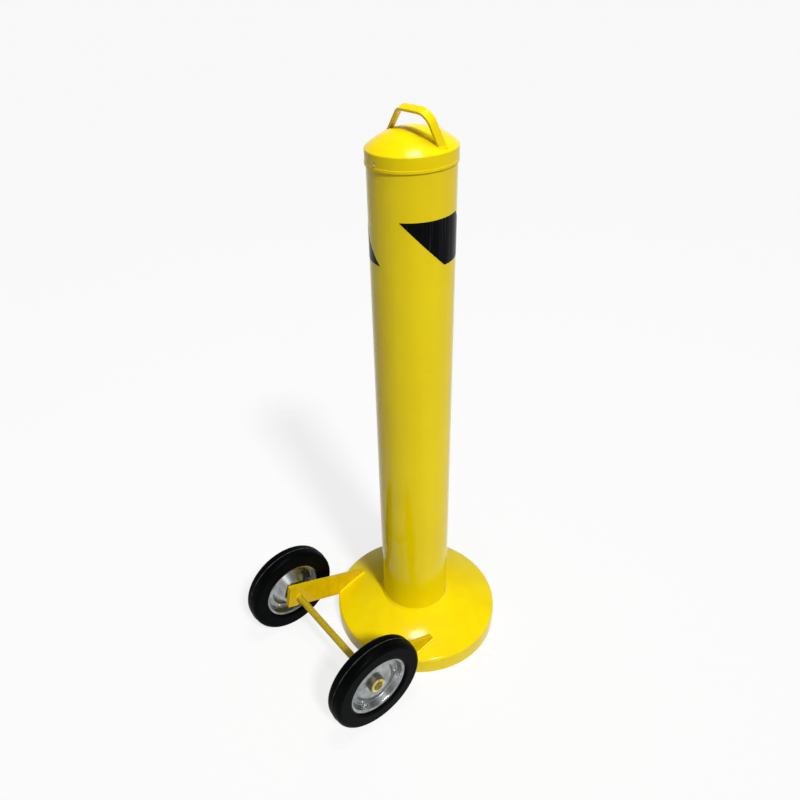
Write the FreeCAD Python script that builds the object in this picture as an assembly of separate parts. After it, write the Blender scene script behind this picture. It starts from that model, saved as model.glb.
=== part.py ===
import FreeCAD, Part
import math
import os

# Removable bollard on wheels: a round steel post with a pressed cap and a carrying handle,
# welded into a domed base that trails two solid rubber wheels on one axle.
# Lengths are millimetres and angles degrees. The origin is the centre of the base's underside,
# +Z runs up the post, the axle lies along X and the wheels stand on the -Y side.

# Post
TUBE_R = 69.85
TUBE_WALL = 4.8
POST_HEIGHT = 1067.0

# Cap
CAP_FIT = 0.25
CAP_SHEET = 1.5
CAP_RISE = 27.5
CAP_SKIRT_H = 23.0
CAP_FOLD_R = 2.6
HEM_H = 4.5
HEM_T = 0.45
HEM_ROUND = 0.35

# Screws that hold the cap, one on the wheel side and one opposite
SCREW_R = 2.4
SCREW_HEAD_R = 4.2
SCREW_HEAD_H = 2.2
SCREW_LENGTH = 12.0
SCREW_BELOW_FOLD = 13.5
SCREW_ANGLES = (-90.0, 90.0)

# Carrying handle, one bent flat bar that leans towards the wheels, trimmed inside the cap's side
HANDLE_W = 13.6
HANDLE_T = 5.0
HANDLE_BEND_R = 22.9
HANDLE_EDGE_R = 1.2
HANDLE_LEAN = 21.5
HANDLE_SET_BACK = 6.7
HANDLE_RISE = 62.8
HANDLE_TOP_LEFT = 7.8
HANDLE_TOP_RIGHT = 55.7
HANDLE_LEFT_INSET = 1.1
HANDLE_RIGHT_INSET = 5.5
HANDLE_TRIM = 5.0

# Slanted film stripes stuck round the post
STRIPE_T = 0.3
STRIPE_FIT = 0.05
STRIPE_BELOW_CAP = 72.8
STRIPE_H = 76.2
STRIPE_WIDTH = 106.8
STRIPE_START = -25.8
STRIPE_LEAN = 43.4
STRIPE_COUNT = 2

# Domed base
BASE_R = 175.0
BASE_SHEET = 5.0
BASE_CROWN = 72.0
BASE_DOME_R = 390.0
BASE_CORNER_R = 7.0
BASE_HOLE_FIT = 0.5
PLATE_T = 6.0
PLATE_FIT = 0.2
FOOT_WELD = 4.8
FOOT_WELD_HOLLOW = 0.8

# Trailing arms
ARM_T = 9.5
ARM_H = 53.4
ARM_SLOPE = 21.7
ARM_INSIDE = 114.5
ARM_TIP = 29.5
ARM_END_LEAN = 12.4
ARM_AXLE_DROP = 3.2
ARM_FOOT_Y = 58.0
ARM_BURIED = 20.0
ARM_CORNER_R = 3.0

# Axle and the washers on it
AXLE_R = 7.5
AXLE_BACK = 235.6
AXLE_FIT = 0.05
AXLE_WELD = 2.0
SPACER_R = 14.0
SPACER_T = 2.0
END_WASHER_R = 15.5
END_WASHER_T = 2.5
END_WELD_R = 9.9
END_WELD_H = 2.4
END_WELD_EDGE = 1.2
END_WELD_ROUND = 0.6
END_PLAY = 0.4

# Wheels
TYRE_R = 101.6
TYRE_HALF_W = 19.0
TYRE_SHOULDER_R = 9.0
TYRE_CROWN = 1.2
TYRE_SEAM_H = 0.5
TYRE_SEAM_W = 1.8
TYRE_CHAMFER = 5.0
TYRE_STEP_R = 1.5
WHEEL_X = 152.5
HUB_R = 17.5
HUB_BORE_R = 12.0
HUB_OUT = 10.5
BUSH_LENGTH = 13.0
DISC_T = 1.5
DISC_BEND_R = 3.0
WEB_BEND_R = 7.5
RIDGE_BEND_R = 4.5
DOME_BEND_R = 12.0
LIP_R = 65.0
LIP_W = 3.5
LIP_OUT = 13.0
FLANGE_IN_R = 45.0
FLANGE_W = 11.0
RIDGE_R = 37.0
RIDGE_H = 4.5
WEB_H = 3.0
WEB_R = 24.0
DOME_FLAT_R = 25.0
DOME_H = 19.0
RUBBER_FIT = 0.2
RIVET_R = 2.0
RIVET_HEAD_R = 3.1
RIVET_HEAD_H = 1.8
RIVET_COUNT = 3
RIVET_START = 111.0

# Heights and radii that follow from the sizes above
CAP_R = TUBE_R + CAP_FIT + CAP_SHEET
CAP_FOLD_Z = POST_HEIGHT - CAP_RISE
CAP_SKIRT_Z = CAP_FOLD_Z - CAP_SKIRT_H
CAP_DOME_R = (CAP_R ** 2 + CAP_RISE ** 2) / (2.0 * CAP_RISE)
CAP_DOME_Z = POST_HEIGHT - CAP_DOME_R
BASE_DOME_Z = BASE_CROWN - math.sqrt(BASE_DOME_R ** 2 - TUBE_R ** 2)
ARM_OUTSIDE = ARM_INSIDE + ARM_T
HUB_INNER_X = ARM_OUTSIDE + SPACER_T + END_PLAY
HUB_OUTER_X = WHEEL_X + HUB_OUT
WASHER_X = HUB_OUTER_X + END_PLAY
AXLE_END = WASHER_X + END_WASHER_T
FLANGE_OUT_R = FLANGE_IN_R + FLANGE_W
RIVET_CIRCLE_R = FLANGE_IN_R + FLANGE_W / 2.0
FAR = 4.0 * POST_HEIGHT
CLOSE = 0.01
SAME_POINT = 1e-6

X_AXIS = FreeCAD.Vector(1, 0, 0)
Y_AXIS = FreeCAD.Vector(0, 1, 0)
Z_AXIS = FreeCAD.Vector(0, 0, 1)
ORIGIN = FreeCAD.Vector(0, 0, 0)
AXLE_CENTRE = FreeCAD.Vector(0, -AXLE_BACK, TYRE_R)


def tube_between(outer_r, inner_r, start, length, axis):
    """A plain ring of the given radii that starts at a point and runs along an axis."""
    outer = Part.makeCylinder(outer_r, length, start, axis)
    return outer.cut(Part.makeCylinder(inner_r, length, start, axis))


def outline(points, radii):
    """A closed wire through 3-D points, each corner rounded by its own radius."""
    starts = []
    ends = []
    middles = []
    count = len(points)
    for i in range(count):
        corner = points[i]
        to_last = (points[i - 1] - corner).normalize()
        to_next = (points[(i + 1) % count] - corner).normalize()
        half = to_last.getAngle(to_next) / 2.0
        reach = radii[i] / math.tan(half)
        bisector = (to_last + to_next).normalize() if radii[i] > 0 else to_last
        sag = radii[i] / math.sin(half) - radii[i]
        starts.append(corner + to_last * reach)
        ends.append(corner + to_next * reach)
        middles.append(corner + bisector * sag)
    edges = []
    for i in range(count):
        if radii[i] > 0:
            edges.append(Part.Arc(starts[i], middles[i], ends[i]).toShape())
        following = starts[(i + 1) % count]
        if ends[i].distanceToPoint(following) > SAME_POINT:
            edges.append(Part.LineSegment(ends[i], following).toShape())
    return Part.Wire(edges)


def bent_strip(path, radii, thickness):
    """Points and corner radii of a strip's section, from its right face's path and its thickness."""
    normals = []
    for a, b in zip(path, path[1:]):
        length = math.hypot(b[0] - a[0], b[1] - a[1])
        normals.append((-(b[1] - a[1]) / length, (b[0] - a[0]) / length))
    shifted = []
    shifted_radii = []
    for i, point in enumerate(path):
        before = normals[max(i - 1, 0)]
        after = normals[min(i, len(normals) - 1)]
        share = 1.0 + before[0] * after[0] + before[1] * after[1]
        shifted.append((point[0] + thickness * (before[0] + after[0]) / share,
                        point[1] + thickness * (before[1] + after[1]) / share))
        turn = before[0] * after[1] - before[1] * after[0]
        if radii[i] > 0:
            shifted_radii.append(radii[i] - math.copysign(thickness, turn))
        else:
            shifted_radii.append(0.0)
    return path + shifted[::-1], radii + shifted_radii[::-1]


def revolve(face, base, axis):
    """A full turn of a face, as a solid with outward faces."""
    solid = face.revolve(base, axis, 360)
    if solid.Volume < 0:
        solid.reverse()
    return solid


def turned(profile, radii, centre, axis, radial):
    """Revolve an (r, along) profile about an axis through a centre."""
    points = [centre + radial * r + axis * along for r, along in profile]
    return revolve(Part.Face(outline(points, radii)), centre, axis)


def domed_cylinder(radius, bottom_z, dome_r, dome_z, corner_r):
    """A cylinder whose top is a cap of a ball of radius dome_r centred at height dome_z."""
    fold_z = dome_z + math.sqrt(dome_r ** 2 - radius ** 2)
    half_angle = math.asin(radius / dome_r) / 2.0
    crown = FreeCAD.Vector(0, 0, dome_z + dome_r)
    fold = FreeCAD.Vector(radius, 0, fold_z)
    between = FreeCAD.Vector(dome_r * math.sin(half_angle), 0, dome_z + dome_r * math.cos(half_angle))
    foot = FreeCAD.Vector(radius, 0, bottom_z)
    floor = FreeCAD.Vector(0, 0, bottom_z)
    edges = [Part.LineSegment(floor, foot).toShape(), Part.LineSegment(foot, fold).toShape(),
             Part.Arc(fold, between, crown).toShape(), Part.LineSegment(crown, floor).toShape()]
    body = revolve(Part.Face(Part.Wire(edges)), ORIGIN, Z_AXIS)
    level = [e for e in body.Edges if e.BoundBox.ZLength < CLOSE]
    folds = [e for e in level if abs(e.BoundBox.ZMin - fold_z) < CLOSE]
    return body.makeFillet(corner_r, folds)


def half_space(point, normal):
    """A very large box that lies on the side of a plane to which the normal points."""
    box = Part.makeBox(FAR, FAR, FAR, FreeCAD.Vector(0, -FAR / 2.0, -FAR / 2.0))
    box.Placement = FreeCAD.Placement(point, FreeCAD.Rotation(X_AXIS, normal)).multiply(box.Placement)
    return box


def button(radius, height, point, direction):
    """A low domed head with its flat side at a point and its crown towards a direction."""
    ball_r = (radius ** 2 + height ** 2) / (2.0 * height)
    centre = point + direction * (height - ball_r)
    return Part.makeSphere(ball_r, centre).common(half_space(point, direction))


def around(angle):
    """The horizontal unit vector at an angle from +X."""
    return FreeCAD.Vector(math.cos(math.radians(angle)), math.sin(math.radians(angle)), 0)


def cap_outside():
    """The solid that the cap's outer surface bounds, down to the floor."""
    return domed_cylinder(CAP_R, 0.0, CAP_DOME_R, CAP_DOME_Z, CAP_FOLD_R)


def cap_inside():
    """The space under the cap, down to the floor."""
    return domed_cylinder(CAP_R - CAP_SHEET, 0.0, CAP_DOME_R - CAP_SHEET, CAP_DOME_Z, CAP_FOLD_R - CAP_SHEET)


def base_outside():
    """The solid that the base's outer surface bounds."""
    return domed_cylinder(BASE_R, 0.0, BASE_DOME_R, BASE_DOME_Z, BASE_CORNER_R)


def screw_shank(angle, radius):
    """The shank of a cap screw, or the hole that it passes, from the skirt's face inwards."""
    direction = around(angle)
    point = direction * CAP_R + Z_AXIS * (CAP_FOLD_Z - SCREW_BELOW_FOLD)
    return Part.makeCylinder(radius, SCREW_LENGTH, point, direction * -1.0)


def screw_holes():
    """Every hole that a cap screw passes."""
    return Part.makeCompound([screw_shank(angle, SCREW_R) for angle in SCREW_ANGLES])


def make_post_tube():
    """The post, its top end shaped to carry the cap and its foot on the base plate."""
    tube = tube_between(TUBE_R, TUBE_R - TUBE_WALL, Z_AXIS * PLATE_T, POST_HEIGHT, Z_AXIS)
    return tube.common(cap_inside()).cut(screw_holes())


def make_cap():
    """The pressed cap: dome, skirt and a folded hem along the skirt's lower edge."""
    shell = cap_outside().common(half_space(Z_AXIS * CAP_SKIRT_Z, Z_AXIS))
    hem = Part.makeCylinder(CAP_R + HEM_T, HEM_H, Z_AXIS * CAP_SKIRT_Z)
    rims = [e for e in hem.Edges if e.BoundBox.ZLength < CLOSE]
    shell = shell.fuse(hem.makeFillet(HEM_ROUND, rims))
    return shell.cut(cap_inside()).cut(screw_holes())


def make_cap_screws():
    """Screws through the skirt and the tube's wall, each with a domed head."""
    screws = []
    for angle in SCREW_ANGLES:
        direction = around(angle)
        seat = direction * CAP_R + Z_AXIS * (CAP_FOLD_Z - SCREW_BELOW_FOLD)
        head = button(SCREW_HEAD_R, SCREW_HEAD_H, seat - direction * CAP_SHEET / 2.0, direction)
        screw = head.cut(cap_outside()).fuse(screw_shank(angle, SCREW_R))
        screws.append(screw.removeSplitter())
    return Part.makeCompound(screws)


def make_cap_handle():
    """The flat bar bent into a grip, its feet scribed to the cap's dome."""
    left_foot = CAP_R - HANDLE_LEFT_INSET
    right_foot = CAP_R - HANDLE_RIGHT_INSET
    path = [(-left_foot, 0.0), (-HANDLE_TOP_LEFT, HANDLE_RISE),
            (HANDLE_TOP_RIGHT, HANDLE_RISE), (right_foot, 0.0)]
    section, radii = bent_strip(path[::-1], [0.0, HANDLE_BEND_R, HANDLE_BEND_R, 0.0], HANDLE_T)
    points = [FreeCAD.Vector(x, -HANDLE_W / 2.0, z) for x, z in section]
    bar = Part.Face(outline(points, radii)).extrude(Y_AXIS * HANDLE_W)
    side_edges = [e for e in bar.Edges if e.BoundBox.YLength < CLOSE]
    long_edges = [e for e in side_edges if e.BoundBox.DiagonalLength > 2.0 * HANDLE_T]
    bar = bar.makeFillet(HANDLE_EDGE_R, long_edges)
    bar.rotate(ORIGIN, X_AXIS, HANDLE_LEAN)
    bar.translate(FreeCAD.Vector(0, HANDLE_SET_BACK, CAP_FOLD_Z))
    bar = bar.common(Part.makeCylinder(CAP_R - HANDLE_TRIM, FAR))
    return bar.cut(cap_outside())


def stripe_side(angle):
    """The direction across a stripe's slanted edge, towards larger angles."""
    lean = math.radians(STRIPE_LEAN)
    return around(angle + 90.0) * math.cos(lean) + Z_AXIS * math.sin(lean)


def make_stripe(index):
    """One film stripe: a thin skin on the tube between two slanted edges."""
    skin_r = TUBE_R + STRIPE_FIT
    foot = Z_AXIS * (CAP_SKIRT_Z - STRIPE_BELOW_CAP - STRIPE_H)
    middle = foot + Z_AXIS * STRIPE_H / 2.0
    band = tube_between(skin_r + STRIPE_T, skin_r, foot, STRIPE_H, Z_AXIS)
    start = STRIPE_START + index * 360.0 / STRIPE_COUNT
    end = start + math.degrees(STRIPE_WIDTH / TUBE_R)
    band = band.common(half_space(middle, stripe_side(start)))
    return band.common(half_space(middle, stripe_side(end) * -1.0))


def make_base_dish():
    """The pressed base: a dome with a turned-down rim and a hole for the tube."""
    inside = domed_cylinder(BASE_R - BASE_SHEET, -BASE_SHEET, BASE_DOME_R - BASE_SHEET, BASE_DOME_Z,
                            BASE_CORNER_R - BASE_SHEET)
    hole = Part.makeCylinder(TUBE_R + BASE_HOLE_FIT, FAR)
    return base_outside().cut(inside).cut(hole)


def make_base_plate():
    """The plate that closes the dish and that the tube stands on."""
    return Part.makeCylinder(BASE_R - BASE_SHEET - PLATE_FIT, PLATE_T)


def make_foot_weld():
    """The hollow weld bead between the tube and the dome."""
    low_z = BASE_CROWN - FOOT_WELD
    inner_foot = FreeCAD.Vector(TUBE_R, 0, low_z)
    top = FreeCAD.Vector(TUBE_R, 0, BASE_CROWN + FOOT_WELD)
    toe = FreeCAD.Vector(TUBE_R + 2.0 * FOOT_WELD, 0, low_z)
    hollow = FreeCAD.Vector(1, 0, 1).normalize() * FOOT_WELD_HOLLOW
    middle = (top + toe) * 0.5 - hollow
    edges = [Part.LineSegment(inner_foot, top).toShape(), Part.Arc(top, middle, toe).toShape(),
             Part.LineSegment(toe, inner_foot).toShape()]
    bead = revolve(Part.Face(Part.Wire(edges)), ORIGIN, Z_AXIS)
    return bead.cut(base_outside())


def arm_height(y, offset):
    """Height at y of the line that runs along an arm, offset across it from the axle's centre."""
    slope = math.radians(ARM_SLOPE)
    return TYRE_R + (-AXLE_BACK - y) * math.tan(slope) + offset / math.cos(slope)


def make_arm(side):
    """One flat-bar arm, scribed to the dome at its foot and bored for the axle at its tip."""
    low = ARM_AXLE_DROP - ARM_H / 2.0
    high = ARM_AXLE_DROP + ARM_H / 2.0
    lean = math.radians(ARM_END_LEAN)
    end_length = ARM_H / math.cos(math.radians(ARM_SLOPE) - lean)
    tip_y = -(AXLE_BACK + ARM_TIP)
    tip_z = arm_height(tip_y, low)
    buried_y = ARM_BURIED - math.sqrt(BASE_R ** 2 - ARM_INSIDE ** 2)
    buried_z = arm_height(buried_y, low)
    corners = [(tip_y, tip_z), (buried_y, buried_z), (-ARM_FOOT_Y, buried_z),
               (-ARM_FOOT_Y, arm_height(-ARM_FOOT_Y, high)),
               (tip_y + end_length * math.sin(lean), tip_z + end_length * math.cos(lean))]
    radii = [ARM_CORNER_R, 0.0, 0.0, 0.0, ARM_CORNER_R]
    face_x = side * (ARM_INSIDE if side > 0 else ARM_OUTSIDE)
    points = [FreeCAD.Vector(face_x, y, z) for y, z in corners]
    arm = Part.Face(outline(points, radii)).extrude(X_AXIS * ARM_T)
    bore = Part.makeCylinder(AXLE_R + AXLE_FIT, 2.0 * AXLE_END, AXLE_CENTRE - X_AXIS * AXLE_END, X_AXIS)
    return arm.cut(base_outside()).cut(bore)


def make_axle_rod():
    """The round bar that carries both wheels."""
    return Part.makeCylinder(AXLE_R, 2.0 * AXLE_END, AXLE_CENTRE - X_AXIS * AXLE_END, X_AXIS)


def make_axle_welds():
    """Fillet welds round the axle on the arms' inner faces."""
    welds = []
    for side in (-1, 1):
        centre = AXLE_CENTRE + X_AXIS * side * ARM_INSIDE
        profile = [(AXLE_R, 0.0), (AXLE_R + AXLE_WELD, 0.0), (AXLE_R, AXLE_WELD)]
        welds.append(turned(profile, [0.0, 0.0, 0.0], centre, X_AXIS * -side, Z_AXIS))
    return Part.makeCompound(welds)


def make_spacer_washers():
    """Washers between each arm and its hub."""
    rings = []
    for side in (-1, 1):
        start = AXLE_CENTRE + X_AXIS * side * ARM_OUTSIDE
        rings.append(tube_between(SPACER_R, AXLE_R + AXLE_FIT, start, SPACER_T, X_AXIS * side))
    return Part.makeCompound(rings)


def make_end_washers():
    """Washers that keep the hubs on the axle."""
    rings = []
    for side in (-1, 1):
        start = AXLE_CENTRE + X_AXIS * side * WASHER_X
        rings.append(tube_between(END_WASHER_R, AXLE_R + AXLE_FIT, start, END_WASHER_T, X_AXIS * side))
    return Part.makeCompound(rings)


def make_end_welds():
    """Welds that join the end washers to the axle's ends, each a raised ring with a sunk middle."""
    welds = []
    for side in (-1, 1):
        end = AXLE_CENTRE + X_AXIS * side * AXLE_END
        profile = [(0.0, 0.0), (END_WELD_R, 0.0), (END_WELD_R, END_WELD_EDGE), (AXLE_R, END_WELD_H),
                   (0.0, END_WELD_EDGE)]
        radii = [0.0, 0.0, END_WELD_ROUND, END_WELD_ROUND, 0.0]
        welds.append(turned(profile, radii, end, X_AXIS * side, Z_AXIS))
    return Part.makeCompound(welds)


def rivet_places(side, phase):
    """Centres of a wheel's rivets on its middle plane."""
    places = []
    for i in range(RIVET_COUNT):
        angle = math.radians(phase + i * 360.0 / RIVET_COUNT)
        spoke = Y_AXIS * math.cos(angle) + Z_AXIS * math.sin(angle)
        places.append(AXLE_CENTRE + X_AXIS * side * WHEEL_X + spoke * RIVET_CIRCLE_R)
    return places


def rivet_holes(side):
    """The holes through both discs of a wheel."""
    return Part.makeCompound([Part.makeCylinder(RIVET_R, 2.0 * LIP_OUT, place - X_AXIS * LIP_OUT, X_AXIS)
                              for place in rivet_places(side, RIVET_START)])


def make_disc(side, outward, centre_path, centre_radii):
    """A pressed wheel disc: web, riveted flange, flare and lip, turned about the axle."""
    path = centre_path + [(FLANGE_IN_R, 0.0), (FLANGE_OUT_R, 0.0), (LIP_R - LIP_W, LIP_OUT), (LIP_R, LIP_OUT)]
    radii = centre_radii + [DISC_BEND_R, DISC_BEND_R, DISC_BEND_R, 0.0]
    section, section_radii = bent_strip(path, radii, DISC_T)
    centre = AXLE_CENTRE + X_AXIS * side * WHEEL_X
    disc = turned(section, section_radii, centre, X_AXIS * outward, Z_AXIS)
    return disc.cut(rivet_holes(side))


def make_outer_disc(side):
    """The disc on the wheel's open side, dished, with a raised ring between hub and rivets."""
    centre_path = [(HUB_R, WEB_H), (WEB_R, WEB_H), (RIDGE_R, RIDGE_H)]
    return make_disc(side, side, centre_path, [0.0, WEB_BEND_R, RIDGE_BEND_R])


def make_inner_disc(side):
    """The disc on the arm's side, raised into a dome round the hub."""
    centre_path = [(HUB_R, DOME_H), (DOME_FLAT_R, DOME_H)]
    return make_disc(side, -side, centre_path, [0.0, DOME_BEND_R])


def make_rivets(side):
    """The rivets through a wheel's two discs, headed on both sides."""
    rivets = []
    for place in rivet_places(side, RIVET_START):
        shank = Part.makeCylinder(RIVET_R, 2.0 * DISC_T, place - X_AXIS * DISC_T, X_AXIS)
        heads = [button(RIVET_HEAD_R, RIVET_HEAD_H, place + X_AXIS * way * DISC_T, X_AXIS * way)
                 for way in (-1, 1)]
        rivets.append(shank.multiFuse(heads).removeSplitter())
    return Part.makeCompound(rivets)


def make_hub(side):
    """The tube through the middle of a wheel."""
    start = AXLE_CENTRE + X_AXIS * side * HUB_INNER_X
    return tube_between(HUB_R, HUB_BORE_R, start, HUB_OUTER_X - HUB_INNER_X, X_AXIS * side)


def make_bushes(side):
    """Plain bushes pressed into each end of a hub, running on the axle."""
    bushes = []
    for start_x in (HUB_INNER_X, HUB_OUTER_X - BUSH_LENGTH):
        start = AXLE_CENTRE + X_AXIS * side * start_x
        bushes.append(tube_between(HUB_BORE_R, AXLE_R + AXLE_FIT, start, BUSH_LENGTH, X_AXIS * side))
    return Part.makeCompound(bushes)


def make_tyre(side):
    """The solid rubber tyre, held between the two flares, with a moulding seam round its tread."""
    tread_r = TYRE_R - TYRE_SEAM_H
    bead_r = FLANGE_OUT_R + RUBBER_FIT + 2.0 * DISC_T
    wall_foot = LIP_OUT - RUBBER_FIT
    seam = TYRE_SEAM_W / 2.0
    half = [(bead_r, 2.0 * DISC_T), (LIP_R - LIP_W + DISC_T, wall_foot), (LIP_R + RUBBER_FIT, wall_foot),
            (LIP_R + DISC_T, TYRE_HALF_W - DISC_T), (LIP_R + TYRE_CHAMFER + DISC_T, TYRE_HALF_W),
            (tread_r - TYRE_CROWN, TYRE_HALF_W), (tread_r, seam), (TYRE_R, seam / 2.0)]
    half_radii = [0.0, 0.0, 0.0, TYRE_STEP_R, TYRE_CHAMFER, TYRE_SHOULDER_R, 0.0, 0.0]
    profile = half + [(r, -along) for r, along in half[::-1]]
    centre = AXLE_CENTRE + X_AXIS * side * WHEEL_X
    return turned(profile, half_radii + half_radii[::-1], centre, X_AXIS, Z_AXIS)


def all_pieces():
    """Every named piece of the bollard."""
    pieces = {
        "post_tube": make_post_tube(),
        "cap": make_cap(),
        "cap_screws": make_cap_screws(),
        "cap_handle": make_cap_handle(),
        "base_dish": make_base_dish(),
        "base_plate": make_base_plate(),
        "foot_weld": make_foot_weld(),
        "axle_rod": make_axle_rod(),
        "axle_welds": make_axle_welds(),
        "spacer_washers": make_spacer_washers(),
        "end_washers": make_end_washers(),
        "end_welds": make_end_welds(),
    }
    for index in range(STRIPE_COUNT):
        pieces["film_stripe_" + str(index + 1)] = make_stripe(index)
    for name, side in (("left", -1), ("right", 1)):
        pieces["arm_" + name] = make_arm(side)
        pieces["tyre_" + name] = make_tyre(side)
        pieces["outer_disc_" + name] = make_outer_disc(side)
        pieces["inner_disc_" + name] = make_inner_disc(side)
        pieces["disc_rivets_" + name] = make_rivets(side)
        pieces["hub_" + name] = make_hub(side)
        pieces["hub_bushes_" + name] = make_bushes(side)
    return pieces


os.makedirs("parts", exist_ok=True)
for piece_name, piece in all_pieces().items():
    piece.exportStep("parts/" + piece_name + ".step")
    print(piece_name, len(piece.Solids), piece.isValid(), round(piece.Volume / 1000.0, 2))
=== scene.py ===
import logging
import math
from dataclasses import dataclass, replace
from enum import Enum

import bmesh
import bpy
from mathutils import Matrix, Vector, noise

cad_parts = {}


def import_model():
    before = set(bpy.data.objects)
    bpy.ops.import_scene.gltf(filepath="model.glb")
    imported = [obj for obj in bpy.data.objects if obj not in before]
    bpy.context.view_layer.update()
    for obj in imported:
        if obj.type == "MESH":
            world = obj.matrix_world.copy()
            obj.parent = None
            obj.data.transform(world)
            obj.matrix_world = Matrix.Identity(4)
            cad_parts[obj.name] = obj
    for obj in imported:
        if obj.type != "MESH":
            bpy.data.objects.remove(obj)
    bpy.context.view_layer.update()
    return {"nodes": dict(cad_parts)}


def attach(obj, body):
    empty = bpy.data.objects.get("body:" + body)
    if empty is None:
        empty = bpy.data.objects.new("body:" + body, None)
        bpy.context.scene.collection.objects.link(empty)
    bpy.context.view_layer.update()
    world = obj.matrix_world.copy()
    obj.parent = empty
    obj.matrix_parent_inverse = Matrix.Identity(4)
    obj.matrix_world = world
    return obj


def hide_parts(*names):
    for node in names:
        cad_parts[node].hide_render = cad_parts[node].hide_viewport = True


log = logging.getLogger("removable_bollard")

WHITE = (1.0, 1.0, 1.0, 1.0)
NOISE_MIDDLE = (0.35, 0.65)
Colour = tuple[float, float, float]
Point = tuple[float, float, float]


class Body(Enum):
    """The bodies of the frame that pieces ride on."""

    POST = "post"
    WHEEL_LEFT = "wheel_left"
    WHEEL_RIGHT = "wheel_right"


class Pattern(Enum):
    """The surface effects that a finish can use."""

    SPRAYED = "sprayed_coat"
    TURNED = "turned_rings"
    MOULDED = "moulded_grain"
    TYRE = "moulded_tyre"
    FILMED = "stretched_film"


@dataclass
class Graph:
    """A node tree that is being wired up."""

    tree: bpy.types.NodeTree

    def node(self, kind: str, **settings: object) -> bpy.types.Node:
        """Adds a node.

        Args:
            kind: The node's type name.
            settings: Properties to set on it.

        Returns:
            The new node.
        """
        made = self.tree.nodes.new(kind)
        for name, value in settings.items():
            setattr(made, name, value)
        return made

    def feed(self, target: bpy.types.NodeSocket, source: object) -> None:
        """Links a socket to a target, or sets the target to a plain value.

        Args:
            target: The input socket.
            source: An output socket or a value.
        """
        if isinstance(source, bpy.types.NodeSocket):
            self.tree.links.new(source, target)
        else:
            target.default_value = source

    def maths(self, operation: str, first: object, second: object = 0.0) -> bpy.types.NodeSocket:
        """Adds a Math node.

        Args:
            operation: Its operation.
            first: Its first input, a socket or a number.
            second: Its second input, a socket or a number.

        Returns:
            The result's socket.
        """
        made = self.node("ShaderNodeMath", operation=operation)
        self.feed(made.inputs[0], first)
        self.feed(made.inputs[1], second)
        return made.outputs[0]

    def noise(self, vector: object, scale: object, detail: float = 2.0) -> bpy.types.NodeSocket:
        """Adds a 3-D noise.

        Args:
            vector: The coordinates' socket.
            scale: Features per metre, a socket or a number.
            detail: How many finer layers it has.

        Returns:
            The noise value's socket.
        """
        made = self.node("ShaderNodeTexNoise")
        self.feed(made.inputs["Vector"], vector)
        self.feed(made.inputs["Scale"], scale)
        made.inputs["Detail"].default_value = detail
        return made.outputs["Fac"]

    def remap(self, value: object, low: float, high: float, to_low: float, to_high: float) -> bpy.types.NodeSocket:
        """Adds a Map Range node.

        Args:
            value: The socket to map.
            low: The value that becomes to_low.
            high: The value that becomes to_high.
            to_low: The result at low.
            to_high: The result at high.

        Returns:
            The result's socket.
        """
        made = self.node("ShaderNodeMapRange")
        self.feed(made.inputs["Value"], value)
        for name, number in (("From Min", low), ("From Max", high), ("To Min", to_low), ("To Max", to_high)):
            made.inputs[name].default_value = number
        return made.outputs["Result"]

    def spread(self, value: object) -> bpy.types.NodeSocket:
        """Stretches the middle of a noise, where most of it lies, over 0 to 1.

        Args:
            value: The noise's socket.

        Returns:
            The result's socket.
        """
        return self.remap(value, *NOISE_MIDDLE, 0.0, 1.0)


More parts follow.
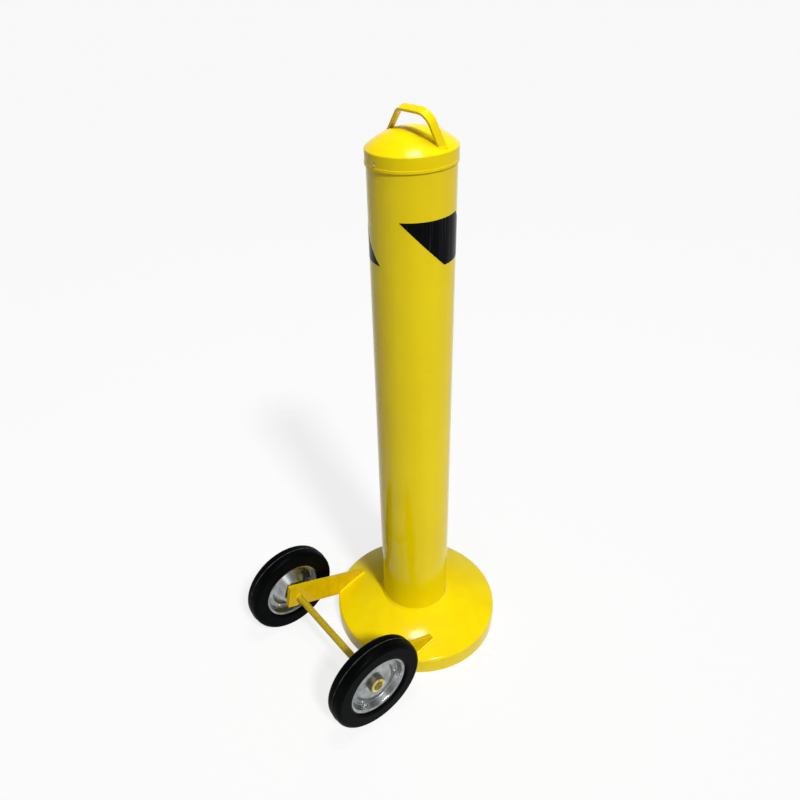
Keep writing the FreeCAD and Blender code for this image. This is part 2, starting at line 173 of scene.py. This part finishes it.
@dataclass
class SurfaceEffects:
    """The node groups that the finishes share. Sizes are in metres and scales in features per metre."""

    coat_stretch: Point = (3.2, 3.2, 0.05)
    film_stretch: Point = (1.0, 1.0, 0.02)
    mould_line: tuple[float, float] = (0.0005, 0.0010)
    tread_edge: tuple[float, float] = (0.0980, 0.1000)
    line_break_scale: float = 90.0
    line_break_least: float = 0.25
    rubber_dust: float = 0.02
    rubber_grain: float = 1100.0

    def build(self) -> dict[Pattern, bpy.types.NodeTree]:
        """Makes every group.

        Returns:
            The groups by pattern.
        """
        return {Pattern.SPRAYED: self.sprayed(), Pattern.TURNED: self.turned(), Pattern.MOULDED: self.moulded(),
                Pattern.TYRE: self.tyre(), Pattern.FILMED: self.filmed()}

    def start(self, pattern: Pattern) -> tuple[Graph, bpy.types.Node, bpy.types.Node]:
        """Makes a group with the sockets that all of them have.

        Args:
            pattern: Which group it is.

        Returns:
            The graph, its input node and its output node.
        """
        tree = bpy.data.node_groups.new(pattern.value, "ShaderNodeTree")
        face = tree.interface
        face.new_socket("Vector", in_out="INPUT", socket_type="NodeSocketVector")
        face.new_socket("Coarse Scale", in_out="INPUT", socket_type="NodeSocketFloat")
        face.new_socket("Fine Scale", in_out="INPUT", socket_type="NodeSocketFloat")
        for name in ("Tint", "Gloss", "Height"):
            face.new_socket(name, in_out="OUTPUT", socket_type="NodeSocketFloat")
        graph = Graph(tree)
        return graph, graph.node("NodeGroupInput"), graph.node("NodeGroupOutput")

    def sprayed(self) -> bpy.types.NodeTree:
        """Sprayed enamel: orange peel, slow waves and faint upright streaks in the coat.

        Returns:
            The group.
        """
        graph, inside, outside = self.start(Pattern.SPRAYED)
        vector = inside.outputs["Vector"]
        coarse = graph.noise(vector, inside.outputs["Coarse Scale"], 3.0)
        fine = graph.noise(vector, inside.outputs["Fine Scale"], 1.0)
        runs = graph.node("ShaderNodeMapping")
        graph.feed(runs.inputs["Vector"], vector)
        runs.inputs["Scale"].default_value = self.coat_stretch
        streak = graph.noise(runs.outputs["Vector"], inside.outputs["Coarse Scale"], 4.0)
        tint = graph.maths("MULTIPLY", graph.maths("ADD", coarse, streak), 0.5)
        peel = graph.maths("ADD", graph.maths("MULTIPLY", coarse, 3.0), fine)
        graph.feed(outside.inputs["Tint"], graph.spread(tint))
        graph.feed(outside.inputs["Gloss"], graph.spread(streak))
        graph.feed(outside.inputs["Height"], peel)
        return graph.tree

    def turned(self) -> bpy.types.NodeTree:
        """Pressed and plated metal: fine rings about the X axis and soft cloudy patches.

        Returns:
            The group.
        """
        graph, inside, outside = self.start(Pattern.TURNED)
        _, ring = self.rings(graph, inside)
        cloud = graph.noise(inside.outputs["Vector"], inside.outputs["Coarse Scale"], 3.0)
        graph.feed(outside.inputs["Tint"], graph.spread(cloud))
        both = graph.maths("MULTIPLY", graph.maths("ADD", ring, cloud), 0.5)
        graph.feed(outside.inputs["Gloss"], graph.spread(both))
        graph.feed(outside.inputs["Height"], ring)
        return graph.tree

    def rings(self, graph: Graph, inside: bpy.types.Node) -> tuple[bpy.types.NodeSocket, bpy.types.NodeSocket]:
        """Adds rings about the X axis.

        Args:
            graph: The group's graph.
            inside: Its input node.

        Returns:
            The distance from the axis, and a noise that depends on it alone.
        """
        parts = graph.node("ShaderNodeSeparateXYZ")
        graph.feed(parts.inputs[0], inside.outputs["Vector"])
        across = graph.maths("MULTIPLY", parts.outputs["Y"], parts.outputs["Y"])
        upward = graph.maths("MULTIPLY", parts.outputs["Z"], parts.outputs["Z"])
        radius = graph.maths("SQRT", graph.maths("ADD", across, upward))
        ring = graph.node("ShaderNodeTexNoise", noise_dimensions="1D")
        graph.feed(ring.inputs["W"], radius)
        graph.feed(ring.inputs["Scale"], inside.outputs["Fine Scale"])
        ring.inputs["Detail"].default_value = 2.0
        return radius, ring.outputs["Fac"]

    def tyre(self) -> bpy.types.NodeTree:
        """A moulded tyre: rings on its walls, a fine grain, and a lighter band, broken up by noise, along the
        mould line round its tread.

        Returns:
            The group.
        """
        graph, inside, outside = self.start(Pattern.TYRE)
        vector = inside.outputs["Vector"]
        radius, ring = self.rings(graph, inside)
        parts = graph.node("ShaderNodeSeparateXYZ")
        graph.feed(parts.inputs[0], vector)
        off_middle = graph.maths("ABSOLUTE", parts.outputs["X"])
        on_line = graph.remap(off_middle, *self.mould_line, 1.0, 0.0)
        on_tread = graph.remap(radius, *self.tread_edge, 0.0, 1.0)
        line_breaks = graph.remap(graph.noise(vector, self.line_break_scale, 3.0), 0.40, 0.58, self.line_break_least, 1.0)
        line = graph.maths("MULTIPLY", graph.maths("MULTIPLY", on_line, on_tread), line_breaks)
        cloud = graph.noise(vector, inside.outputs["Coarse Scale"], 5.0)
        dust = graph.remap(cloud, 0.45, 0.75, 0.0, self.rubber_dust)
        graph.feed(outside.inputs["Tint"], graph.maths("MAXIMUM", dust, line))
        graph.feed(outside.inputs["Gloss"], graph.spread(ring))
        grain = graph.noise(vector, self.rubber_grain, 2.0)
        graph.feed(outside.inputs["Height"], graph.maths("ADD", graph.maths("MULTIPLY", ring, 2.5), grain))
        return graph.tree

    def filmed(self) -> bpy.types.NodeTree:
        """Stretched film: smooth, with faint upright ridges in its relief and gloss where it was pulled round the
        tube, and lighter bluish upright streaks painted in its colour as painted reflections.

        Returns:
            The group.
        """
        graph, inside, outside = self.start(Pattern.FILMED)
        upright = graph.node("ShaderNodeMapping")
        graph.feed(upright.inputs["Vector"], inside.outputs["Vector"])
        upright.inputs["Scale"].default_value = self.film_stretch
        drag_and_reflection = graph.noise(upright.outputs["Vector"], inside.outputs["Fine Scale"], 2.0)
        patch = graph.noise(upright.outputs["Vector"], inside.outputs["Coarse Scale"], 1.0)
        # Lighter bluish upright streaks painted on the film: painted reflections.
        painted_reflection_streaks = graph.maths("MULTIPLY", graph.remap(drag_and_reflection, 0.54, 0.70, 0.0, 1.0),
                            graph.remap(patch, 0.46, 0.60, 0.0, 1.0))
        graph.feed(outside.inputs["Tint"], painted_reflection_streaks)
        graph.feed(outside.inputs["Gloss"], graph.spread(drag_and_reflection))
        graph.feed(outside.inputs["Height"], drag_and_reflection)
        return graph.tree

    def moulded(self) -> bpy.types.NodeTree:
        """Moulded rubber or plastic: a fine grain under patches of dust.

        Returns:
            The group.
        """
        graph, inside, outside = self.start(Pattern.MOULDED)
        vector = inside.outputs["Vector"]
        dust = graph.noise(vector, inside.outputs["Coarse Scale"], 5.0)
        grain = graph.noise(vector, inside.outputs["Fine Scale"], 2.0)
        graph.feed(outside.inputs["Tint"], graph.remap(dust, 0.45, 0.75, 0.0, 1.0))
        graph.feed(outside.inputs["Gloss"], graph.remap(dust, 0.3, 0.7, 0.0, 1.0))
        graph.feed(outside.inputs["Height"], grain)
        return graph.tree


@dataclass(frozen=True)
class Finish:
    """One surface finish, with the colours and numbers that set it apart."""

    name: str
    slot: str
    pattern: Pattern
    base: Colour
    deep: Colour
    rough_low: float
    rough_high: float
    relief: float
    coarse: float
    fine: float
    metallic: float = 0.0
    specular: float = 0.5
    centre: Point = (0.0, 0.0, 0.0)

    def material(self, effects: dict[Pattern, bpy.types.NodeTree]) -> bpy.types.Material:
        """Makes the finish's material.

        Args:
            effects: The shared node groups.

        Returns:
            The material.
        """
        made = bpy.data.materials.new(self.name)
        made.use_nodes = True
        made.node_tree.nodes.clear()
        graph = Graph(made.node_tree)
        where = graph.node("ShaderNodeTexCoord")
        place = graph.node("ShaderNodeMapping")
        graph.feed(place.inputs["Vector"], where.outputs["Object"])
        place.inputs["Location"].default_value = [-value for value in self.centre]
        effect = graph.node("ShaderNodeGroup", node_tree=effects[self.pattern])
        graph.feed(effect.inputs["Vector"], place.outputs["Vector"])
        effect.inputs["Coarse Scale"].default_value = self.coarse
        effect.inputs["Fine Scale"].default_value = self.fine
        shade = graph.node("ShaderNodeMix", data_type="RGBA")
        graph.feed(shade.inputs[0], effect.outputs["Tint"])
        shade.inputs[6].default_value = (*self.base, 1.0)
        shade.inputs[7].default_value = (*self.deep, 1.0)
        bump = graph.node("ShaderNodeBump")
        bump.inputs["Distance"].default_value = self.relief
        graph.feed(bump.inputs["Height"], effect.outputs["Height"])
        surface = graph.node("ShaderNodeBsdfPrincipled")
        graph.feed(surface.inputs["Base Color"], shade.outputs[2])
        graph.feed(surface.inputs["Roughness"],
                   graph.remap(effect.outputs["Gloss"], 0.0, 1.0, self.rough_low, self.rough_high))
        graph.feed(surface.inputs["Normal"], bump.outputs["Normal"])
        surface.inputs["Metallic"].default_value = self.metallic
        surface.inputs["Specular IOR Level"].default_value = self.specular
        result = graph.node("ShaderNodeOutputMaterial")
        graph.feed(result.inputs["Surface"], surface.outputs["BSDF"])
        return made


AXLE_Y = -0.2356
AXLE_Z = 0.1016
WHEEL_X = 0.1525

AXLE_CENTRE = (0.0, AXLE_Y, AXLE_Z)

ENAMEL = Finish("enamel", "yellow_enamel", Pattern.SPRAYED, (0.92, 0.715, 0.0012), (0.85, 0.635, 0.0008),
                0.09, 0.16, 0.00006, 9.0, 200.0, specular=0.16)
CAP_ENAMEL = replace(ENAMEL, name="cap_enamel", rough_low=0.17, rough_high=0.22, relief=0.00003, specular=0.10)
# The arms and the axle's welds take a darker copy of the yellow enamel: painted shade, standing in for the shade
# on the arms' faces.
ARM_ENAMEL_PAINTED_SHADE = replace(ENAMEL, name="arm_enamel_painted_shade", base=(0.75, 0.52, 0.0010), deep=(0.64, 0.42, 0.0008), coarse=60.0,
                     specular=0.09)
ROD_ENAMEL = replace(ENAMEL, name="rod_enamel", base=(0.66, 0.49, 0.0120), deep=(0.28, 0.19, 0.0100),
                     rough_low=0.22, rough_high=0.38, relief=0.00003, coarse=380.0, fine=500.0)
# The film's deep colour is the lighter bluish tone of its painted reflection streaks.
FILM = Finish("film", "black_film", Pattern.FILMED, (0.0006, 0.0009, 0.0013), (0.0300, 0.0370, 0.0520),
              0.08, 0.16, 0.00003, 60.0, 420.0, specular=0.045)
SCREW = Finish("screw", "screw_steel", Pattern.TURNED, (0.62, 0.46, 0.24), (0.16, 0.10, 0.04),
               0.16, 0.30, 0.00002, 300.0, 1500.0, metallic=1.0)
WASHER = Finish("washer", "washer_steel", Pattern.TURNED, (0.80, 0.66, 0.24), (0.62, 0.46, 0.10),
                0.30, 0.48, 0.00003, 140.0, 2400.0, metallic=0.7, centre=AXLE_CENTRE)
ZINC = Finish("zinc", "zinc_disc", Pattern.TURNED, (0.40, 0.42, 0.415), (0.24, 0.25, 0.255),
              0.20, 0.34, 0.00003, 60.0, 1600.0, metallic=1.0, centre=AXLE_CENTRE)
# The hub barrels take a darker copy of the zinc-plated steel: painted shade, standing in for the shade round the
# hubs.
HUB_PAINTED_SHADE = Finish("hub", "hub_steel", Pattern.TURNED, (0.24, 0.24, 0.19), (0.12, 0.115, 0.085),
             0.58, 0.72, 0.00003, 120.0, 1800.0, metallic=0.8, centre=AXLE_CENTRE)
WELD = Finish("weld", "weld_steel", Pattern.MOULDED, (0.22, 0.175, 0.020), (0.035, 0.030, 0.010),
              0.24, 0.46, 0.00110, 360.0, 700.0, metallic=0.4, centre=AXLE_CENTRE)
NYLON = Finish("nylon", "bush_nylon", Pattern.MOULDED, (0.80, 0.76, 0.64), (0.66, 0.60, 0.46),
               0.45, 0.60, 0.00003, 60.0, 900.0)
RUBBER_LEFT = Finish("rubber_left", "tyre_rubber", Pattern.TYRE, (0.0014, 0.0018, 0.0020), (0.085, 0.085, 0.078),
                     0.26, 0.44, 0.00012, 28.0, 420.0, specular=0.013, centre=(-WHEEL_X, AXLE_Y, AXLE_Z))
RUBBER_RIGHT = replace(RUBBER_LEFT, name="rubber_right", centre=(WHEEL_X, AXLE_Y, AXLE_Z))
FINISHES = (ENAMEL, CAP_ENAMEL, ARM_ENAMEL_PAINTED_SHADE, ROD_ENAMEL, FILM, SCREW, WASHER, ZINC, HUB_PAINTED_SHADE, WELD, NYLON, RUBBER_LEFT,
            RUBBER_RIGHT)


@dataclass
class Paintbox:
    """Every material of the object, by its finish's name."""

    effects: dict[Pattern, bpy.types.NodeTree]

    def __post_init__(self) -> None:
        """Makes the materials."""
        self.materials = {finish.name: finish.material(self.effects) for finish in FINISHES}

    def dress(self, piece: bpy.types.Object, finish: Finish) -> None:
        """Gives an object one finish all over.

        Args:
            piece: The object.
            finish: Its finish.
        """
        piece.data.materials.clear()
        piece.data.materials.append(self.materials[finish.name])


@dataclass
class Workshop:
    """What every sub-assembly needs: the frame's nodes and the materials."""

    nodes: dict[str, bpy.types.Object]
    paints: Paintbox

    def carry_over(self, name: str, finish: Finish) -> None:
        """Keeps a node of the frame and gives it its finish.

        Args:
            name: The node.
            finish: Its finish.
        """
        self.paints.dress(self.nodes[name], finish)
        log.info("carried over %s as %s", name, finish.name)

    def add(self, name: str, mesh: bpy.types.Mesh, finish: Finish, body: Body,
            stands_for: tuple[str, ...] = ()) -> bpy.types.Object:
        """Adds a new piece in its place.

        Args:
            name: The piece's name.
            mesh: Its mesh, in the frame's coordinates.
            finish: Its finish.
            body: The body that carries it.
            stands_for: Nodes that it replaces.

        Returns:
            The piece's object.
        """
        piece = bpy.data.objects.new(name, mesh)
        bpy.context.scene.collection.objects.link(piece)
        self.paints.dress(piece, finish)
        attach(piece, body.value)
        if stands_for:
            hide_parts(*stands_for)
        log.info("built %s with %d faces", name, len(mesh.polygons))
        return piece


@dataclass
class WeldBead:
    """A painted-over weld bead: overlapping drops along a seam, run together."""

    radius: float = 0.0030
    pitch: float = 0.0019
    voxel: float = 0.0006
    seed: float = 0.0
    unevenness: float = 0.22
    wander_scale: float = 160.0
    soften_factor: float = 0.6
    soften_passes: int = 3

    def along(self, name: str, seam: list[Vector]) -> bpy.types.Mesh:
        """Lays the bead.

        Args:
            name: The mesh's name.
            seam: Points along the seam, which comes back to its start.

        Returns:
            The bead's mesh.
        """
        shape = bmesh.new()
        for place in self.spaced(seam):
            wander = noise.noise_vector(place * self.wander_scale + Vector((self.seed, 0.0, 0.0)))
            size = self.radius * (1.0 + self.unevenness * wander.x)
            drop = Matrix.Translation(place + wander * self.radius * self.unevenness)
            bmesh.ops.create_icosphere(shape, subdivisions=2, radius=size, matrix=drop)
        rough = bpy.data.meshes.new(name + "_drops")
        shape.to_mesh(rough)
        shape.free()
        return self.run_together(name, rough)

    def spaced(self, seam: list[Vector]) -> list[Vector]:
        """Divides a closed seam into equal steps.

        Args:
            seam: Its points.

        Returns:
            Points one pitch apart.
        """
        path = seam + seam[:1]
        places = []
        left_over = 0.0
        for start, end in zip(path, path[1:]):
            run = (end - start).length
            along = left_over
            while along < run:
                places.append(start.lerp(end, along / run))
                along += self.pitch
            left_over = along - run
        return places

    def run_together(self, name: str, rough: bpy.types.Mesh) -> bpy.types.Mesh:
        """Merges the drops into one smooth skin.

        Args:
            name: The mesh's name.
            rough: The separate drops.

        Returns:
            The merged mesh.
        """
        holder = bpy.data.objects.new(name + "_holder", rough)
        bpy.context.scene.collection.objects.link(holder)
        skin = holder.modifiers.new("skin", "REMESH")
        skin.mode = "VOXEL"
        skin.voxel_size = self.voxel
        soften = holder.modifiers.new("soften", "SMOOTH")
        soften.factor = self.soften_factor
        soften.iterations = self.soften_passes
        bpy.context.view_layer.update()
        graph = bpy.context.evaluated_depsgraph_get()
        mesh = bpy.data.meshes.new_from_object(holder.evaluated_get(graph))
        mesh.name = name
        mesh.shade_smooth()
        bpy.data.objects.remove(holder)
        bpy.data.meshes.remove(rough)
        return mesh


@dataclass
class Dome:
    """A ball-shaped surface on the post's axis that something is welded to."""

    radius: float
    centre_z: float
    reach: float = 0.00012

    def seam_of(self, node: bpy.types.Object, side: int) -> list[Vector]:
        """Finds where a node's foot meets the dome.

        Args:
            node: The node that is welded on.
            side: -1 for the foot at negative X, 1 for the other.

        Returns:
            The foot's outline, in order.
        """
        centre = Vector((0.0, 0.0, self.centre_z))
        found = [v.co.copy() for v in node.data.vertices
                 if abs((v.co - centre).length - self.radius) < self.reach and v.co.x * side > 0]
        middle = sum(found, Vector()) / len(found)
        return sorted(found, key=lambda p: math.atan2(p.y - middle.y, p.x - middle.x))


@dataclass
class PostAndCap:
    """The tube, its pressed cap, the screws and the handle."""

    shop: Workshop
    crown_z: float = 1.067
    cap_radius: float = 0.0716
    cap_rise: float = 0.0275
    weld_radius: float = 0.0013

    def build(self) -> None:
        """Dresses the nodes and welds on the handle."""
        self.shop.carry_over("post_tube", ENAMEL)
        self.shop.carry_over("cap", CAP_ENAMEL)
        self.shop.carry_over("cap_handle", CAP_ENAMEL)
        self.shop.carry_over("cap_screws", SCREW)
        self.shop.carry_over("film_stripe_1", FILM)
        self.shop.carry_over("film_stripe_2", FILM)
        ball = (self.cap_radius ** 2 + self.cap_rise ** 2) / (2.0 * self.cap_rise)
        dome = Dome(ball, self.crown_z - ball)
        bead = WeldBead(self.weld_radius, pitch=0.0008, voxel=0.0004, seed=3.0, unevenness=0.10)
        for name, side in (("handle_weld_left", -1), ("handle_weld_right", 1)):
            seam = dome.seam_of(self.shop.nodes["cap_handle"], side)
            self.shop.add(name, bead.along(name, seam), CAP_ENAMEL, Body.POST)


@dataclass
class BaseAndArms:
    """The domed base and the arms and axle that trail from it."""

    shop: Workshop
    dome_radius: float = 0.390
    dome_centre_z: float = -0.31169
    weld_radius: float = 0.0030

    def build(self) -> None:
        """Dresses the nodes and welds on the arms."""
        for name in ("base_dish", "base_plate", "foot_weld"):
            self.shop.carry_over(name, ENAMEL)
        for name in ("arm_left", "arm_right", "axle_welds"):
            self.shop.carry_over(name, ARM_ENAMEL_PAINTED_SHADE)
        self.shop.carry_over("axle_rod", ROD_ENAMEL)
        for name in ("spacer_washers", "end_washers"):
            self.shop.carry_over(name, WASHER)
        self.shop.carry_over("end_welds", WELD)
        dome = Dome(self.dome_radius, self.dome_centre_z)
        bead = WeldBead(self.weld_radius, pitch=0.0012, seed=11.0, unevenness=0.08)
        for name, side in (("arm_left", -1), ("arm_right", 1)):
            seam = dome.seam_of(self.shop.nodes[name], side)
            weld = name + "_weld"
            self.shop.add(weld, bead.along(weld, seam), ENAMEL, Body.POST)


@dataclass
class Wheel:
    """One wheel: tyre, pressed discs, rivets, hub and bushes."""

    shop: Workshop
    side: str

    def build(self) -> None:
        """Dresses the wheel's nodes."""
        rubber = RUBBER_LEFT if self.side == "left" else RUBBER_RIGHT
        for stem, finish in (("tyre", rubber), ("outer_disc", ZINC), ("inner_disc", ZINC), ("disc_rivets", ZINC),
                             ("hub", HUB_PAINTED_SHADE), ("hub_bushes", NYLON)):
            self.shop.carry_over(stem + "_" + self.side, finish)


@dataclass
class Studio:
    """The floor, the lamps, the world and the camera at the photograph's viewpoint."""

    eye: Point = (0.83846, -0.71640, 1.32697)
    forward: Point = (-0.69343, 0.44527, -0.56647)
    right: Point = (0.57891, 0.81238, -0.07009)
    focal_pixels: float = 711.765
    frame_pixels: float = 800.0
    centre_pixels: tuple[float, float] = (333.304, 408.032)
    sensor: float = 36.0
    lamp_distance: float = 4.0
    floor_reach: float = 60.0
    background: float = 0.98
    ambient: float = 0.15
    floor_drop: float = 0.0006
    floor_grey: float = 0.96
    floor_bounce: float = 0.46
    floor_glow: float = 0.80
    sky_low: float = 0.15
    sky_high: float = 0.60
    sky_top: float = 0.22
    panel_place: Point = (0.19, -0.04, 2.4)
    panel_length: float = 0.32
    panel_width: float = 0.42
    panel_turn: float = -28.0

    def build(self) -> None:
        """Makes everything that stands round the object."""
        self.floor()
        self.world()
        self.lamp("window", -12.0, 50.0, 8.0, 0.84)
        self.lamp("ceiling", 80.0, 80.0, 40.0, 0.03)
        self.overhead("overhead_glow", 22.0).visible_glossy = False
        self.overhead("overhead_glint", 58.0).visible_diffuse = False
        self.camera()

    def floor(self) -> None:
        """Makes the pale floor, which keeps a soft shadow."""
        shape = bmesh.new()
        bmesh.ops.create_grid(shape, x_segments=1, y_segments=1, size=self.floor_reach)
        bmesh.ops.translate(shape, verts=shape.verts, vec=(0.0, 0.0, -self.floor_drop))
        mesh = bpy.data.meshes.new("studio_floor")
        shape.to_mesh(mesh)
        shape.free()
        floor = bpy.data.objects.new("studio_floor", mesh)
        bpy.context.scene.collection.objects.link(floor)
        paint = bpy.data.materials.new("studio_floor")
        paint.use_nodes = True
        paint.node_tree.nodes.clear()
        graph = Graph(paint.node_tree)
        bounce = graph.node("ShaderNodeBsdfDiffuse")
        bounce.inputs["Color"].default_value = (*[self.floor_bounce] * 3, 1.0)
        shaded = graph.node("ShaderNodeBsdfDiffuse")
        shaded.inputs["Color"].default_value = (*[self.floor_grey] * 3, 1.0)
        glow = graph.node("ShaderNodeEmission")
        glow.inputs["Color"].default_value = WHITE
        glow.inputs["Strength"].default_value = self.background
        seen = graph.node("ShaderNodeMixShader")
        seen.inputs[0].default_value = self.floor_glow
        graph.feed(seen.inputs[1], shaded.outputs[0])
        graph.feed(seen.inputs[2], glow.outputs[0])
        blend = graph.node("ShaderNodeMixShader")
        graph.feed(blend.inputs[0], self.looked_at(graph))
        graph.feed(blend.inputs[1], bounce.outputs[0])
        graph.feed(blend.inputs[2], seen.outputs[0])
        graph.feed(graph.node("ShaderNodeOutputMaterial").inputs["Surface"], blend.outputs[0])
        mesh.materials.append(paint)

    def looked_at(self, graph: Graph) -> bpy.types.NodeSocket:
        """Picks out the rays that see the pale background: the camera's, mirrored and refracted ones.

        Args:
            graph: The node tree that needs them.

        Returns:
            A socket that is 1 for those rays and 0 for the rest.
        """
        rays = graph.node("ShaderNodeLightPath")
        direct = graph.maths("MAXIMUM", rays.outputs["Is Camera Ray"], rays.outputs["Is Transmission Ray"])
        return graph.maths("MAXIMUM", direct, rays.outputs["Is Glossy Ray"])

    def world(self) -> None:
        """Makes a plain even light. Camera and mirror rays see a backdrop that is pale low down and grey above."""
        world = bpy.data.worlds.new("studio")
        bpy.context.scene.world = world
        world.use_nodes = True
        world.node_tree.nodes.clear()
        graph = Graph(world.node_tree)
        light = graph.node("ShaderNodeBackground")
        light.inputs["Color"].default_value = WHITE
        light.inputs["Strength"].default_value = self.ambient
        where = graph.node("ShaderNodeTexCoord")
        parts = graph.node("ShaderNodeSeparateXYZ")
        graph.feed(parts.inputs[0], where.outputs["Generated"])
        pale = graph.node("ShaderNodeBackground")
        pale.inputs["Color"].default_value = WHITE
        fade = graph.remap(parts.outputs["Z"], self.sky_low, self.sky_high, self.background, self.sky_top)
        graph.feed(pale.inputs["Strength"], fade)
        whole = graph.node("ShaderNodeMixShader")
        graph.feed(whole.inputs[0], self.looked_at(graph))
        graph.feed(whole.inputs[1], light.outputs[0])
        graph.feed(whole.inputs[2], pale.outputs[0])
        graph.feed(graph.node("ShaderNodeOutputWorld").inputs["Surface"], whole.outputs[0])

    def lamp(self, name: str, azimuth: float, elevation: float, width: float, strength: float) -> None:
        """Adds a distant soft lamp.

        Args:
            name: The lamp's name.
            azimuth: Degrees round the post from +X to where it stands.
            elevation: Degrees above the floor.
            width: How wide it looks from the object, in degrees.
            strength: Its strength, where 1 lights a white sheet that faces it fully white.
        """
        light = bpy.data.lights.new(name, "SUN")
        light.angle = math.radians(width)
        light.energy = strength * math.pi
        level = math.cos(math.radians(elevation))
        towards = Vector((level * math.cos(math.radians(azimuth)), level * math.sin(math.radians(azimuth)),
                          math.sin(math.radians(elevation))))
        lamp = bpy.data.objects.new(name, light)
        lamp.location = towards * self.lamp_distance
        lamp.rotation_euler = towards.to_track_quat("Z", "Y").to_euler()
        bpy.context.scene.collection.objects.link(lamp)

    def overhead(self, name: str, brightness: float) -> bpy.types.Object:
        """Adds a lamp in the ceiling panel that hangs above the object and faces down.

        Args:
            name: The lamp's name.
            brightness: Its brightness, where 1 is that of a fully lit white sheet.

        Returns:
            The lamp's object.
        """
        light = bpy.data.lights.new(name, "AREA")
        light.shape = "RECTANGLE"
        light.size = self.panel_length
        light.size_y = self.panel_width
        light.energy = brightness * math.pi * self.panel_length * self.panel_width
        lamp = bpy.data.objects.new(name, light)
        lamp.location = self.panel_place
        lamp.rotation_euler = (0.0, 0.0, math.radians(self.panel_turn))
        bpy.context.scene.collection.objects.link(lamp)
        return lamp

    def camera(self) -> None:
        """Sets the camera where the photograph was taken."""
        data = bpy.data.cameras.new("viewpoint")
        data.sensor_width = self.sensor
        data.lens = self.focal_pixels / self.frame_pixels * self.sensor
        middle = self.frame_pixels / 2.0
        data.shift_x = (middle - self.centre_pixels[0]) / self.frame_pixels
        data.shift_y = (self.centre_pixels[1] - middle) / self.frame_pixels
        forward = Vector(self.forward).normalized()
        right = Vector(self.right).normalized()
        turn = Matrix((right, right.cross(forward), -forward)).transposed().to_4x4()
        camera = bpy.data.objects.new("viewpoint", data)
        camera.matrix_world = Matrix.Translation(self.eye) @ turn
        bpy.context.scene.collection.objects.link(camera)
        bpy.context.scene.camera = camera


def main() -> None:
    """Builds the bollard's looks round the frame."""
    logging.basicConfig(level=logging.INFO, format="%(name)s: %(message)s")
    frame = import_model()
    bpy.context.scene.view_settings.view_transform = "Standard"
    shop = Workshop(frame["nodes"], Paintbox(SurfaceEffects().build()))
    PostAndCap(shop).build()
    BaseAndArms(shop).build()
    Wheel(shop, "left").build()
    Wheel(shop, "right").build()
    Studio().build()


if __name__ == "__main__":
    main()
